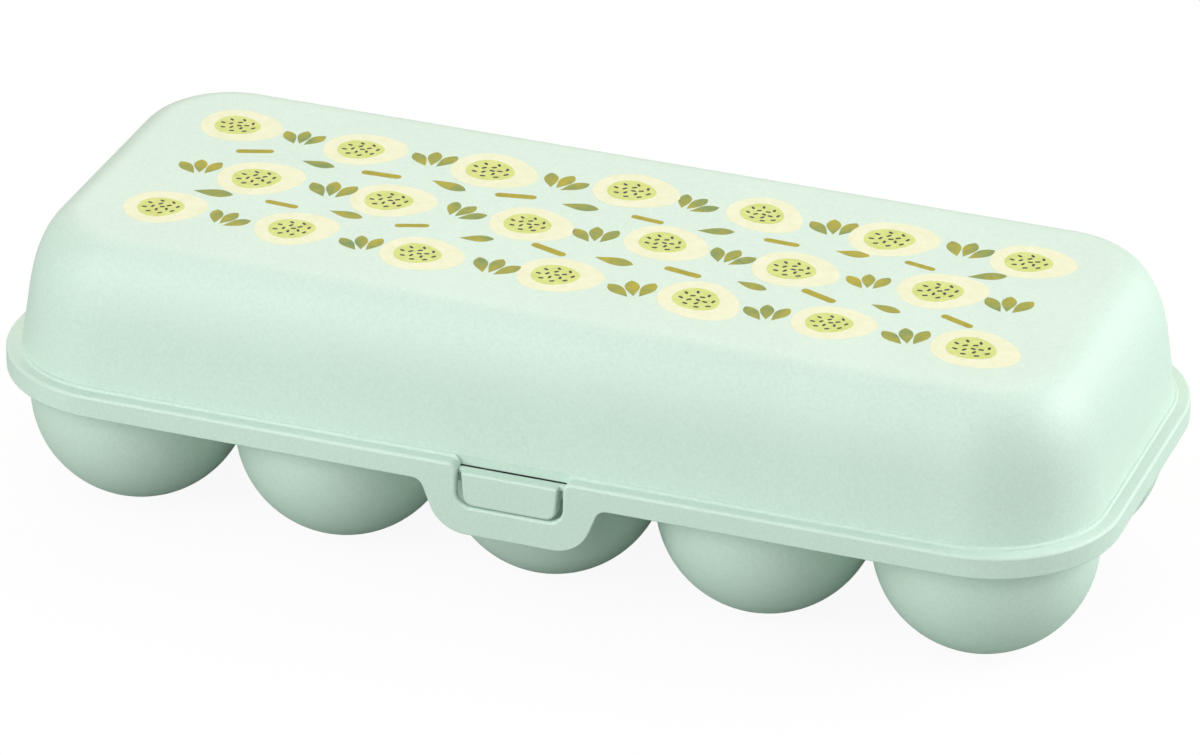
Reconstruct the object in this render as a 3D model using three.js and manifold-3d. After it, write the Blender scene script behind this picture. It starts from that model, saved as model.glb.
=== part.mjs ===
// Moulded plastic egg box for ten eggs: a tray of round cups, a domed lid hinged along the back,
// and a clasp flap on the lid that snaps over a catch on the tray's front.
// Millimetres, +Z up, +X along the row of cups, -Y towards the clasp.
// The origin lies on the ground, under the middle of the whole box with its hinges.

import * as THREE from 'three';
import { mergeVertices } from 'three/addons/utils/BufferGeometryUtils.js';
import Module from 'manifold-3d';

const wasm = await Module();
wasm.setup();

// Egg cups: a round bowl with a straight collar, wide enough for extra large hen's eggs
const cupBoreRadius = 23.5;
const cupWall = 1.6;
const cupWeb = 3;
const rowWeb = 4.3;
const cupCollar = 8.2;
const footDepth = 0.3;
const cupsPerRow = 5;
const rowCount = 2;

// Tray deck and the upstanding rim that the lid sits on
const deckThickness = 1.6;
const cupMargin = 1.7;
const rimWall = 1.6;
const rimUpstand = 1.7;

// Lid: a skirt outside the tray's rim, a ledge over it, and the dome
const skirtWall = 1.4;
const skirtDepth = 5.3;
const skirtClearance = 0.4;
const skirtEdgeRadius = 0.8;
const skirtCornerRadius = 29.9;
const ledgeWidth = 3.65;
const ledgeThickness = 1.7;
const ledgeRise = 0.45;
const seatGap = 0.3;
const domeWall = 1.6;
const domeHeight = 32.1;
const domeDraft = 7.9 * Math.PI / 180;
const shoulderHeight = 19.5;
const shoulderWidth = 9.8;
const shoulderPower = 2.4;
const cornerTighteningShare = 0.82;

// Catch on the tray's front, and the clasp flap with the window that drops over it
const catchTopHalfWidth = 11.3;
const catchBottomHalfWidth = 10.7;
const catchHeight = 7.9;
const catchThickness = 2.9;
const catchCornerRadius = 2.5;
const catchEdgeRadius = 0.6;
const windowSideGap = 1.1;
const windowBottomGap = 0.3;
const windowCornerRadius = 3.2;
const flapTopHalfWidth = 20.9;
const flapBottomHalfWidth = 16.4;
const flapBarHeight = 7;
const flapNeckRadius = 2.8;
const flapCornerRadius = 9;
const flexGap = 0.3;
const flapSpread = 6;

// Two hinges on the back: a lid knuckle between two tray ears, on one pin
const hingePitchesOutShare = 1.5;
const hingeReach = 3.45;
const hingeRise = 0.9;
const knuckleRadius = 2.7;
const knuckleWidth = 14;
const earWidth = 6;
const earGap = 0.4;
const pinRadius = 1.2;
const pinClearance = 0.15;
const pinEndSetback = 0.2;
const armThickness = 2;
const armDrop = 0.7;
const armSetback = 0.4;
const armPostDepth = 2.6;
const stopThickness = 2;
const stopReach = 5;

// Cuts and joins run past the faces they cross by this much
const overrun = 1;

// How finely round shapes are divided
const cupSides = 24;
const bowlSteps = 6;
const cornerSteps = 8;
const shoulderSteps = 7;
const edgeSteps = 2;
const filletSteps = 5;
const pinSides = 20;

// Heights worked out from the sizes above, from the ground up
const cupRadius = cupBoreRadius + cupWall;
const cupCentreZ = cupRadius - footDepth;
const deckTopZ = cupCentreZ + cupCollar;
const deckBottomZ = deckTopZ - deckThickness;
const rimTopZ = deckTopZ + rimUpstand;
const ledgeBottomZ = rimTopZ + seatGap;
const ledgeTopZ = ledgeBottomZ + ledgeThickness;
const skirtBottomZ = ledgeTopZ - skirtDepth;
const domeBaseZ = ledgeTopZ + ledgeRise;

// The plan: the grid of cups sets the rim, and the rim sets the skirt
const cupPitch = 2 * cupBoreRadius + cupWeb;
const rowPitch = 2 * cupBoreRadius + rowWeb;
const rimInset = skirtWall + skirtClearance;
const rimToSkirt = cupMargin + rimWall + rimInset;
const skirtHalfLength = (cupsPerRow - 1) / 2 * cupPitch + cupRadius + rimToSkirt;
const skirtHalfWidth = (rowCount - 1) / 2 * rowPitch + cupRadius + rimToSkirt;
const frontY = -skirtHalfWidth;

// The hinge axis lies behind the skirt, just above its lower edge
const hingeY = skirtHalfWidth + hingeReach;
const hingeZ = skirtBottomZ + hingeRise;
const hingeX = hingePitchesOutShare * cupPitch;
const boreRadius = pinRadius + pinClearance;

// Materials
const mintPlastic = { color: 0xc6dfd2, roughness: 0.5, metalness: 0 };

// A closed solid for joining and cutting, from any closed three.js geometry
function solidFrom(geometry) {
  const bare = geometry.index ? geometry.toNonIndexed() : geometry.clone();
  bare.deleteAttribute('normal');
  bare.deleteAttribute('uv');
  const merged = mergeVertices(bare);
  const index = merged.index.array;
  const triangles = [];
  for (let i = 0; i < index.length; i += 3) {
    const [a, b, c] = [index[i], index[i + 1], index[i + 2]];
    if (a !== b && b !== c && c !== a) triangles.push(a, b, c);
  }
  return new wasm.Manifold(new wasm.Mesh({
    numProp: 3,
    vertProperties: new Float32Array(merged.attributes.position.array),
    triVerts: new Uint32Array(triangles),
  }));
}

function geometryFrom(solid) {
  const mesh = solid.getMesh();
  const geometry = new THREE.BufferGeometry();
  geometry.setAttribute('position', new THREE.BufferAttribute(new Float32Array(mesh.vertProperties), 3));
  geometry.setIndex(new THREE.BufferAttribute(new Uint32Array(mesh.triVerts), 1));
  geometry.computeVertexNormals();
  return geometry;
}

// A box between two corners
function block([x0, y0, z0], [x1, y1, z1]) {
  const geometry = new THREE.BoxGeometry(x1 - x0, y1 - y0, z1 - z0);
  geometry.translate((x0 + x1) / 2, (y0 + y1) / 2, (z0 + z1) / 2);
  return solidFrom(geometry);
}

// A rod along X, centred on a point of the hinge axis
function rod(radius, length, x) {
  const geometry = new THREE.CylinderGeometry(radius, radius, length, pinSides);
  geometry.rotateZ(Math.PI / 2);
  geometry.translate(x, hingeY, hingeZ);
  return solidFrom(geometry);
}

// One level of the lid or tray: the skirt's plan drawn in by an inset, with its own corner radius
function planRing(inset, z, cornerRadius) {
  const points = [];
  for (let quarter = 0; quarter < 4; quarter += 1) {
    const signX = quarter === 0 || quarter === 3 ? 1 : -1;
    const signY = quarter < 2 ? 1 : -1;
    const centreX = signX * (skirtHalfLength - inset - cornerRadius);
    const centreY = signY * (skirtHalfWidth - inset - cornerRadius);
    for (let step = 0; step <= cornerSteps; step += 1) {
      const angle = (quarter + step / cornerSteps) * Math.PI / 2;
      points.push(new THREE.Vector3(
        centreX + cornerRadius * Math.cos(angle), centreY + cornerRadius * Math.sin(angle), z));
    }
  }
  return points;
}

// A closed solid through a stack of level rings, lowest first
function stack(rings) {
  const count = rings[0].length;
  const positions = rings.flat().flatMap((point) => [point.x, point.y, point.z]);
  const index = [];
  for (let level = 0; level + 1 < rings.length; level += 1) {
    for (let i = 0; i < count; i += 1) {
      const next = (i + 1) % count;
      const [a, b] = [level * count + i, level * count + next];
      index.push(a, b, b + count, a, b + count, a + count);
    }
  }
  const top = (rings.length - 1) * count;
  for (let i = 1; i + 1 < count; i += 1) {
    index.push(0, i + 1, i);
    index.push(top, top + i, top + i + 1);
  }
  const geometry = new THREE.BufferGeometry();
  geometry.setAttribute('position', new THREE.Float32BufferAttribute(positions, 3));
  geometry.setIndex(index);
  return solidFrom(geometry);
}

// An outline with a fillet at each corner, given as [x, y, radius] in order round it
function filletedShape(corners) {
  const points = [];
  corners.forEach(([x, y, radius], i) => {
    const corner = new THREE.Vector2(x, y);
    if (radius === 0) {
      points.push(corner);
      return;
    }
    const [backX, backY] = corners[(i + corners.length - 1) % corners.length];
    const [aheadX, aheadY] = corners[(i + 1) % corners.length];
    const back = new THREE.Vector2(backX, backY).sub(corner).normalize();
    const ahead = new THREE.Vector2(aheadX, aheadY).sub(corner).normalize();
    const halfAngle = Math.acos(back.dot(ahead)) / 2;
    const centre = back.clone().add(ahead).setLength(radius / Math.sin(halfAngle)).add(corner);
    const reach = radius / Math.tan(halfAngle);
    const from = back.multiplyScalar(reach).add(corner).sub(centre);
    const to = ahead.multiplyScalar(reach).add(corner).sub(centre);
    const turn = Math.atan2(from.cross(to), from.dot(to));
    for (let step = 0; step <= filletSteps; step += 1) {
      points.push(from.clone().rotateAround(new THREE.Vector2(), turn * step / filletSteps).add(centre));
    }
  });
  return new THREE.Shape(points);
}

// A plate standing in XZ, from a back plane towards the front of the box
function standingPlate(shape, backY, thickness, edgeRadius) {
  const geometry = new THREE.ExtrudeGeometry(shape, {
    depth: thickness - 2 * edgeRadius,
    bevelEnabled: edgeRadius > 0,
    bevelThickness: edgeRadius,
    bevelSize: edgeRadius,
    bevelOffset: -edgeRadius,
    bevelSegments: edgeSteps,
  });
  geometry.translate(0, 0, edgeRadius);
  geometry.rotateX(Math.PI / 2);
  geometry.translate(0, backY, 0);
  return solidFrom(geometry);
}

// A round bowl with a straight collar, as a solid: the outside of a cup, or the space in it
function bowl(radius, bottomZ, topZ) {
  const startAngle = Math.acos(Math.min(1, (cupCentreZ - bottomZ) / radius));
  const profile = [new THREE.Vector2(0, bottomZ)];
  for (let step = startAngle > 0 ? 0 : 1; step <= bowlSteps; step += 1) {
    const angle = startAngle + (Math.PI / 2 - startAngle) * step / bowlSteps;
    profile.push(new THREE.Vector2(radius * Math.sin(angle), cupCentreZ - radius * Math.cos(angle)));
  }
  profile.push(new THREE.Vector2(radius, topZ), new THREE.Vector2(0, topZ));
  const geometry = new THREE.LatheGeometry(profile, cupSides);
  geometry.rotateX(Math.PI / 2);
  return solidFrom(geometry);
}

// The middles of the cups
function cupPlaces() {
  const places = [];
  for (let row = 0; row < rowCount; row += 1) {
    for (let cup = 0; cup < cupsPerRow; cup += 1) {
      places.push([(cup - (cupsPerRow - 1) / 2) * cupPitch, (row - (rowCount - 1) / 2) * rowPitch]);
    }
  }
  return places;
}

// The dome's outline from base to flat top, as insets from its base, with its outward slope
function domeProfile() {
  const straight = domeHeight - shoulderHeight;
  const levels = [{ inset: 0, z: domeBaseZ }];
  for (let step = 0; step <= shoulderSteps; step += 1) {
    const angle = Math.PI / 2 * step / shoulderSteps;
    const rise = straight + shoulderHeight * Math.sin(angle) ** (2 / shoulderPower);
    const turnIn = shoulderWidth * (1 - Math.cos(angle) ** (2 / shoulderPower));
    levels.push({ inset: Math.tan(domeDraft) * rise + turnIn, z: domeBaseZ + rise });
  }
  return levels;
}

function domeRings(offset) {
  const levels = domeProfile();
  return levels.map(({ inset, z }, i) => {
    const before = levels[Math.max(0, i - 1)];
    const after = levels[Math.min(levels.length - 1, i + 1)];
    const isTop = i === levels.length - 1;
    const slope = isTop ? Math.PI / 2 : Math.atan2(after.inset - before.inset, after.z - before.z);
    const drawnIn = inset + offset * Math.cos(slope);
    const cornerRadius = skirtCornerRadius - ledgeWidth - cornerTighteningShare * inset;
    return planRing(ledgeWidth + drawnIn, z - offset * Math.sin(slope),
      cornerRadius - offset * Math.cos(slope));
  });
}

// Lid: dome, ledge and skirt in one moulding, open below, with a knuckle for each hinge
function buildLid() {
  const edge = [];
  for (let step = 0; step <= edgeSteps; step += 1) {
    const angle = Math.PI / 2 * step / edgeSteps;
    const inset = skirtEdgeRadius * (1 - Math.cos(angle));
    const z = ledgeTopZ - skirtEdgeRadius * (1 - Math.sin(angle));
    edge.push(planRing(inset, z, skirtCornerRadius - inset));
  }
  const outside = stack([planRing(0, skirtBottomZ, skirtCornerRadius), ...edge, ...domeRings(0)]);
  const innerDome = domeRings(domeWall);
  const neckInset = ledgeWidth + domeWall;
  const inside = stack([
    planRing(skirtWall, skirtBottomZ - overrun, skirtCornerRadius - skirtWall),
    planRing(skirtWall, ledgeBottomZ, skirtCornerRadius - skirtWall),
    planRing(neckInset, ledgeBottomZ, skirtCornerRadius - neckInset),
    ...innerDome,
  ]);
  const windowHalfWidth = catchTopHalfWidth + windowSideGap;
  const window = block(
    [-windowHalfWidth, frontY - overrun, skirtBottomZ - overrun],
    [windowHalfWidth, frontY + ledgeWidth, domeBaseZ + overrun]);
  let lid = outside.subtract(inside).subtract(window);
  for (const x of [-hingeX, hingeX]) {
    const [left, right] = [x - knuckleWidth / 2, x + knuckleWidth / 2];
    const web = block(
      [left, skirtHalfWidth - skirtWall / 2, skirtBottomZ], [right, hingeY, hingeZ + knuckleRadius]);
    const stop = block(
      [left, hingeY, hingeZ - stopThickness / 2], [right, hingeY + stopReach, hingeZ + stopThickness / 2]);
    lid = lid.add(web).add(rod(knuckleRadius, knuckleWidth, x)).add(stop)
      .subtract(rod(boreRadius, knuckleWidth + 2 * overrun, x));
  }
  return lid;
}

// Clasp flap: the U-shaped lip under the skirt, which bends out along its top edge to let go
function buildClaspFlap() {
  const top = skirtBottomZ - flexGap;
  const windowBottom = rimTopZ - catchHeight - windowBottomGap;
  const bottom = windowBottom - flapBarHeight;
  const above = skirtBottomZ + overrun;
  const wide = flapTopHalfWidth + flapSpread;
  const panel = standingPlate(filletedShape([
    [-flapBottomHalfWidth, bottom, flapCornerRadius],
    [flapBottomHalfWidth, bottom, flapCornerRadius],
    [flapTopHalfWidth, skirtBottomZ, flapNeckRadius],
    [wide, skirtBottomZ, 0],
    [wide, above, 0],
    [-wide, above, 0],
    [-wide, skirtBottomZ, 0],
    [-flapTopHalfWidth, skirtBottomZ, flapNeckRadius],
  ]), frontY + skirtWall, skirtWall, 0);
  const windowHalfWidth = catchTopHalfWidth + windowSideGap;
  const window = standingPlate(filletedShape([
    [-windowHalfWidth, windowBottom, windowCornerRadius],
    [windowHalfWidth, windowBottom, windowCornerRadius],
    [windowHalfWidth, above + overrun, 0],
    [-windowHalfWidth, above + overrun, 0],
  ]), frontY + skirtWall + overrun, skirtWall + 2 * overrun, 0);
  const bendLine = block(
    [-wide - overrun, frontY - overrun, top], [wide + overrun, frontY + skirtWall + overrun, above + overrun]);
  return panel.subtract(window).subtract(bendLine);
}

// Catch: the rounded block on the tray's front that fills the clasp's window
function catchBlock() {
  const bottom = rimTopZ - catchHeight;
  return standingPlate(filletedShape([
    [-catchBottomHalfWidth, bottom, catchCornerRadius],
    [catchBottomHalfWidth, bottom, catchCornerRadius],
    [catchTopHalfWidth, rimTopZ, 0],
    [-catchTopHalfWidth, rimTopZ, 0],
  ]), frontY + catchThickness, catchThickness, catchEdgeRadius);
}

// Two ears for one hinge pin, on an arm that reaches back under the lid's skirt
function hingeEars(x) {
  const half = knuckleWidth / 2 + earGap + earWidth;
  const armTop = skirtBottomZ - armDrop;
  const armBottom = armTop - armThickness;
  const rimY = skirtHalfWidth - rimInset;
  const arm = block([x - half, rimY - armPostDepth, armBottom],
    [x + half, hingeY - knuckleRadius - armSetback, armTop]);
  const post = block([x - half, rimY - armPostDepth, armBottom], [x + half, rimY, deckTopZ]);
  let ears = arm.add(post);
  for (const side of [-1, 1]) {
    const middle = x + side * (half - earWidth / 2);
    const foot = block([middle - earWidth / 2, rimY, armBottom],
      [middle + earWidth / 2, hingeY + knuckleRadius, armTop]);
    const upright = block([middle - earWidth / 2, hingeY - knuckleRadius, armBottom],
      [middle + earWidth / 2, hingeY + knuckleRadius, hingeZ]);
    ears = ears.add(foot).add(upright).add(rod(knuckleRadius, earWidth, middle));
  }
  return ears.subtract(rod(boreRadius, 2 * half + 2 * overrun, x));
}

// Tray: ten cups hung from a deck with an upstanding rim, the catch in front and the ears behind
function buildTray() {
  const rimCorner = skirtCornerRadius - rimInset;
  const deck = stack([planRing(rimInset, deckBottomZ, rimCorner), planRing(rimInset, rimTopZ, rimCorner)]);
  const wellInset = rimInset + rimWall;
  const well = stack([
    planRing(wellInset, deckTopZ, skirtCornerRadius - wellInset),
    planRing(wellInset, rimTopZ + overrun, skirtCornerRadius - wellInset),
  ]);
  let tray = deck.subtract(well).add(catchBlock());
  for (const x of [-hingeX, hingeX]) tray = tray.add(hingeEars(x));
  const cup = bowl(cupRadius, 0, deckTopZ - deckThickness / 2);
  const egg = bowl(cupBoreRadius, cupCentreZ - cupBoreRadius, rimTopZ + overrun);
  for (const [x, y] of cupPlaces()) tray = tray.add(cup.translate([x, y, 0]));
  for (const [x, y] of cupPlaces()) tray = tray.subtract(egg.translate([x, y, 0]));
  return tray;
}

function buildHingePin() {
  const length = knuckleWidth + 2 * (earGap + earWidth - pinEndSetback);
  const geometry = new THREE.CylinderGeometry(pinRadius, pinRadius, length, pinSides);
  geometry.rotateZ(Math.PI / 2);
  return mergeVertices(geometry);
}

function piece(name, geometry) {
  const mesh = new THREE.Mesh(geometry, new THREE.MeshStandardMaterial({ name: 'mint plastic', ...mintPlastic }));
  mesh.name = name;
  return mesh;
}

// The assembly, drawn about the middle of the cups and set so that the whole box is centred
const eggBox = new THREE.Group();
const lidBody = new THREE.Group();
lidBody.add(piece('lid', geometryFrom(buildLid())));
lidBody.add(piece('clasp_flap', geometryFrom(buildClaspFlap())));
eggBox.add(lidBody);
eggBox.add(piece('base_tray', geometryFrom(buildTray())));
for (const [name, x] of [['hinge_pin_left', -hingeX], ['hinge_pin_right', hingeX]]) {
  const pin = piece(name, buildHingePin());
  pin.position.set(x, hingeY, hingeZ);
  eggBox.add(pin);
}
const backY = hingeY + stopReach;
eggBox.position.set(0, -(frontY + backY) / 2, 0);

const eggBoxPart = new THREE.Group();
eggBoxPart.add(eggBox);

export default eggBoxPart;
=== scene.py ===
# %% [markdown]
# # Egg box for ten eggs
# The real box is two thin mouldings in satin polypropylene: a tray of round cups, and a domed lid that turns
# on two pins at the back and snaps shut over a catch at the front. The measured solids come from the CAD
# frame. Here each piece gets its fine surfaces, rounded edges, finish and print, in the same place and size.

# %% Load the frame and keep its box
import math
import bpy
import bmesh
from mathutils import Matrix, Vector


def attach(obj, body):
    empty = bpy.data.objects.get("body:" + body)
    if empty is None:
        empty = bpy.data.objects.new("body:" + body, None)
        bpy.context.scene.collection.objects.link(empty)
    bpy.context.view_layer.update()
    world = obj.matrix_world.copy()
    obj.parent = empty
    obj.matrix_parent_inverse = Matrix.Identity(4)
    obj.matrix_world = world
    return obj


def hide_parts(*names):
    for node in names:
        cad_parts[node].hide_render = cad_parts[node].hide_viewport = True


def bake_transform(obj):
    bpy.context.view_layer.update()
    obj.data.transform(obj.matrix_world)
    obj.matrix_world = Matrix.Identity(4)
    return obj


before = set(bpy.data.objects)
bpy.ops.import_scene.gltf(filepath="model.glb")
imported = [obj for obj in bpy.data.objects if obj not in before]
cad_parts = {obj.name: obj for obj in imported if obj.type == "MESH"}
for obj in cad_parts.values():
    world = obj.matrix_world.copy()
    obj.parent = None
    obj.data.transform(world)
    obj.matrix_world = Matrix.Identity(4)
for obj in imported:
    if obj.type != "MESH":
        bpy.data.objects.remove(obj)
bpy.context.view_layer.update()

# %% [markdown]
# The sizes below are the CAD model's own, in millimetres, so that every fine surface lies where its plain
# one does. Heights are worked out from the ground up, as on the drawing of a real mould.

# %% Sizes of the mouldings
MM = 0.001

CUP_BORE_RADIUS, CUP_WALL, CUP_WEB, ROW_WEB = 23.5, 1.6, 3, 4.3
CUP_COLLAR, FOOT_DEPTH = 8.2, 0.3
CUPS_PER_ROW, ROW_COUNT = 5, 2
DECK_THICKNESS, CUP_MARGIN, RIM_WALL, RIM_UPSTAND = 1.6, 1.7, 1.6, 1.7

SKIRT_WALL, SKIRT_DEPTH, SKIRT_CLEARANCE = 1.4, 5.3, 0.4
SKIRT_EDGE_RADIUS, SKIRT_CORNER_RADIUS = 0.8, 29.9
LEDGE_WIDTH, LEDGE_THICKNESS, LEDGE_RISE, SEAT_GAP = 3.65, 1.7, 0.45, 0.3
DOME_WALL, DOME_HEIGHT, DOME_DRAFT = 1.6, 32.1, math.radians(7.9)
SHOULDER_HEIGHT, SHOULDER_WIDTH, SHOULDER_POWER = 19.5, 9.8, 2.4
CORNER_TIGHTENING = 0.82

CATCH_TOP_HALF, CATCH_BOTTOM_HALF, CATCH_HEIGHT = 11.3, 10.7, 7.9
CATCH_CORNER_RADIUS, CATCH_EDGE_RADIUS = 2.5, 0.6
WINDOW_SIDE_GAP, WINDOW_BOTTOM_GAP, WINDOW_CORNER_RADIUS = 1.1, 0.3, 3.2
FLAP_TOP_HALF, FLAP_BOTTOM_HALF, FLAP_BAR_HEIGHT = 20.9, 16.4, 7
FLAP_NECK_RADIUS, FLAP_CORNER_RADIUS, FLAP_SPREAD = 2.8, 9, 6

HINGE_REACH, HINGE_RISE, KNUCKLE_RADIUS, KNUCKLE_WIDTH = 3.45, 0.9, 2.7, 14
EAR_WIDTH, EAR_GAP, PIN_RADIUS, PIN_CLEARANCE, PIN_END_SETBACK = 6, 0.4, 1.2, 0.15, 0.2
ARM_THICKNESS, ARM_DROP, ARM_SETBACK, ARM_POST_DEPTH = 2, 0.7, 0.4, 2.6
STOP_THICKNESS, STOP_REACH = 2, 5

CUP_RADIUS = CUP_BORE_RADIUS + CUP_WALL
CUP_CENTRE_Z = CUP_RADIUS - FOOT_DEPTH
DECK_TOP_Z = CUP_CENTRE_Z + CUP_COLLAR
DECK_BOTTOM_Z = DECK_TOP_Z - DECK_THICKNESS
RIM_TOP_Z = DECK_TOP_Z + RIM_UPSTAND
LEDGE_BOTTOM_Z = RIM_TOP_Z + SEAT_GAP
LEDGE_TOP_Z = LEDGE_BOTTOM_Z + LEDGE_THICKNESS
SKIRT_BOTTOM_Z = LEDGE_TOP_Z - SKIRT_DEPTH
DOME_BASE_Z = LEDGE_TOP_Z + LEDGE_RISE
DOME_TOP_Z = DOME_BASE_Z + DOME_HEIGHT

CUP_PITCH = 2 * CUP_BORE_RADIUS + CUP_WEB
ROW_PITCH = 2 * CUP_BORE_RADIUS + ROW_WEB
RIM_INSET = SKIRT_WALL + SKIRT_CLEARANCE
HALF_LENGTH = (CUPS_PER_ROW - 1) / 2 * CUP_PITCH + CUP_RADIUS + CUP_MARGIN + RIM_WALL + RIM_INSET
HALF_WIDTH = (ROW_COUNT - 1) / 2 * ROW_PITCH + CUP_RADIUS + CUP_MARGIN + RIM_WALL + RIM_INSET
CENTRE_Y = -(HINGE_REACH + STOP_REACH) / 2
FRONT_Y = CENTRE_Y - HALF_WIDTH
HINGE_X = 1.5 * CUP_PITCH  # halfway between the two end cups
HINGE_Y = CENTRE_Y + HALF_WIDTH + HINGE_REACH
HINGE_Z = SKIRT_BOTTOM_Z + HINGE_RISE
print("outside of the skirt, mm:", 2 * HALF_LENGTH, "by", 2 * HALF_WIDTH)

# %% [markdown]
# Almost every surface here is a loft: closed outlines with the same number of points, skinned in order.
# That gives even rows of faces, which catch the light smoothly, where a bevelled block would pinch.
# Coordinates are rounded to a tenth of a micrometre, so faces that should be flush are exactly flush.

# %% Lofts, joins and finishing
CORNER_STEPS, FILLET_STEPS, EDGE_STEPS, ROD_SIDES = 22, 8, 5, 64
WELD_DISTANCE, JOIN_WELD_DISTANCE = 0.001 * MM, 0.002 * MM
SHARP_ANGLE, DECIMALS = math.radians(32), 4


def mesh_object(name, points, faces):
    """A closed mesh from points in millimetres, with its faces turned outwards."""
    mesh = bpy.data.meshes.new(name)
    mesh.from_pydata([[round(c, DECIMALS) * MM for c in p] for p in points], [], faces)
    work = bmesh.new()
    work.from_mesh(mesh)
    bmesh.ops.remove_doubles(work, verts=work.verts, dist=WELD_DISTANCE)
    bmesh.ops.recalc_face_normals(work, faces=work.faces)
    work.to_mesh(mesh)
    work.free()
    made = bpy.data.objects.new(name, mesh)
    bpy.context.scene.collection.objects.link(made)
    return made


def loft(name, rings):
    """A solid through a list of rings, with a flat face on the first and on the last."""
    count = len(rings[0])
    points = [p for ring in rings for p in ring]
    faces = [list(range(count)), list(range(len(points) - count, len(points)))]
    for level in range(len(rings) - 1):
        for i in range(count):
            a, b = level * count + i, level * count + (i + 1) % count
            faces.append([a, b, b + count, a + count])
    return mesh_object(name, points, faces)


def applied(piece):
    """Turns a piece and its modifiers into one plain mesh."""
    graph = bpy.context.evaluated_depsgraph_get()
    mesh = bpy.data.meshes.new_from_object(piece.evaluated_get(graph))
    piece.modifiers.clear()
    piece.data = mesh
    return piece


def combine(piece, other, how):
    """Adds or cuts a second solid, which is then used up."""
    step = piece.modifiers.new(how, "BOOLEAN")
    step.operation, step.solver, step.object = how, "MANIFOLD", other
    applied(piece)
    bpy.data.objects.remove(other)
    return piece


def finish_surface(piece, name, material):
    """Cleans the joins, sets which edges look sharp, and weights the shading by face size."""
    work = bmesh.new()
    work.from_mesh(piece.data)
    bmesh.ops.remove_doubles(work, verts=work.verts, dist=JOIN_WELD_DISTANCE)
    bmesh.ops.dissolve_degenerate(work, edges=work.edges, dist=WELD_DISTANCE)
    for face in work.faces:
        face.smooth = True
    work.to_mesh(piece.data)
    work.free()
    piece.data.set_sharp_from_angle(angle=SHARP_ANGLE)
    weights = piece.modifiers.new("even shading", "WEIGHTED_NORMAL")
    weights.keep_sharp = True
    applied(piece)
    piece.data.materials.clear()
    piece.data.materials.append(material)
    piece.name = piece.data.name = name
    print(name, len(piece.data.polygons), "faces")
    return piece


# %% [markdown]
# The corners of a moulding are rounded, because molten plastic flows badly into a sharp one and the part
# would crack there. A bevel modifier would round every edge alike. Here an outline is given as corners, each
# with its own radius, and is drawn again a little further in for each step of a rounded edge. Skinned in
# order, such outlines make a plate with soft edges. Rods and the lid's levels are rings of their own.

# %% Outlines with fillets
SMALLEST_FILLET, STRAIGHT = 0.02, 1e-9


def inset_outline(corners, inset):
    """A counterclockwise outline of [u, v, radius] corners, moved inwards, with its fillets drawn."""
    count = len(corners)
    along = [Vector((corners[(i + 1) % count][0] - corners[i][0],
                     corners[(i + 1) % count][1] - corners[i][1])).normalized() for i in range(count)]
    points = []
    for i, (u, v, radius) in enumerate(corners):
        before, after = along[i - 1], along[i]
        turn = before.cross(after)
        half_tangent = (1 - before.dot(after)) / turn if abs(turn) > STRAIGHT else 0
        corner = Vector((u, v)) + inset * (Vector((-before.y, before.x)) - half_tangent * before)
        if radius == 0:
            points.append(corner)
            continue
        side = 1 if turn > 0 else -1
        fillet = max(radius - side * inset, SMALLEST_FILLET)
        centre = corner - abs(half_tangent) * fillet * before + side * fillet * Vector((-before.y, before.x))
        start = math.atan2(*reversed(corner - abs(half_tangent) * fillet * before - centre))
        sweep = before.angle_signed(after) * -1
        for step in range(FILLET_STEPS + 1):
            angle = start + sweep * step / FILLET_STEPS
            points.append(centre + fillet * Vector((math.cos(angle), math.sin(angle))))
    return points


def edge_arc(radius):
    """Steps round an edge fillet: how far behind the face, and how far the outline is drawn in there."""
    angles = [math.pi / 2 * step / EDGE_STEPS for step in range(EDGE_STEPS + 1)]
    return [(radius * (1 - math.cos(a)), radius * (1 - math.sin(a))) for a in angles]


def front_plate(name, corners, depth, edge_radius):
    """A plate in the plane of the box's front, with rounded front edges. Depth runs back from the front."""
    levels = edge_arc(edge_radius) + [(depth, 0)]
    return loft(name, [[(u, FRONT_Y + d, v) for u, v in inset_outline(corners, inset)]
                       for d, inset in levels])


def side_plate(name, corners, left, right, edge_radius):
    """A plate across the box, drawn in Y and Z, with rounded edges on both ends."""
    arc = edge_arc(edge_radius)
    levels = [(left + d, inset) for d, inset in arc] + [(right - d, inset) for d, inset in reversed(arc)]
    return loft(name, [[(x, u, v) for u, v in inset_outline(corners, inset)] for x, inset in levels])


def rod(name, radius, left, right, chamfer=0.0):
    """A round rod along the hinge axis."""
    turns = [2 * math.pi * i / ROD_SIDES for i in range(ROD_SIDES)]
    levels = [(left, radius - chamfer), (left + chamfer, radius), (right - chamfer, radius),
              (right, radius - chamfer)] if chamfer else [(left, radius), (right, radius)]
    return loft(name, [[(x, HINGE_Y + r * math.cos(a), HINGE_Z + r * math.sin(a)) for a in turns]
                       for x, r in levels])


def plan_ring(inset, z, corner_radius):
    """One level of the lid or tray: the skirt's plan, drawn in, with its own corner radius."""
    ring = []
    for quarter, (sign_x, sign_y) in enumerate(((1, 1), (-1, 1), (-1, -1), (1, -1))):
        x = sign_x * (HALF_LENGTH - inset - corner_radius)
        y = CENTRE_Y + sign_y * (HALF_WIDTH - inset - corner_radius)
        for step in range(CORNER_STEPS + 1):
            angle = (quarter + step / CORNER_STEPS) * math.pi / 2
            ring.append((x + corner_radius * math.cos(angle), y + corner_radius * math.sin(angle), z))
    return ring


# %% [markdown]
# Polypropylene is an opaque, slightly waxy plastic. From a spark-eroded mould it comes out satin, with a
# grain too fine to see one by one: it breaks up the highlights and mottles the colour a little. The true
# grain is about 0.1 mm and is drawn at 0.8 mm, so that it still shows at this distance. A second, very wide
# and weak change of tint stands for the uneven flow of the pigment.

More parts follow.
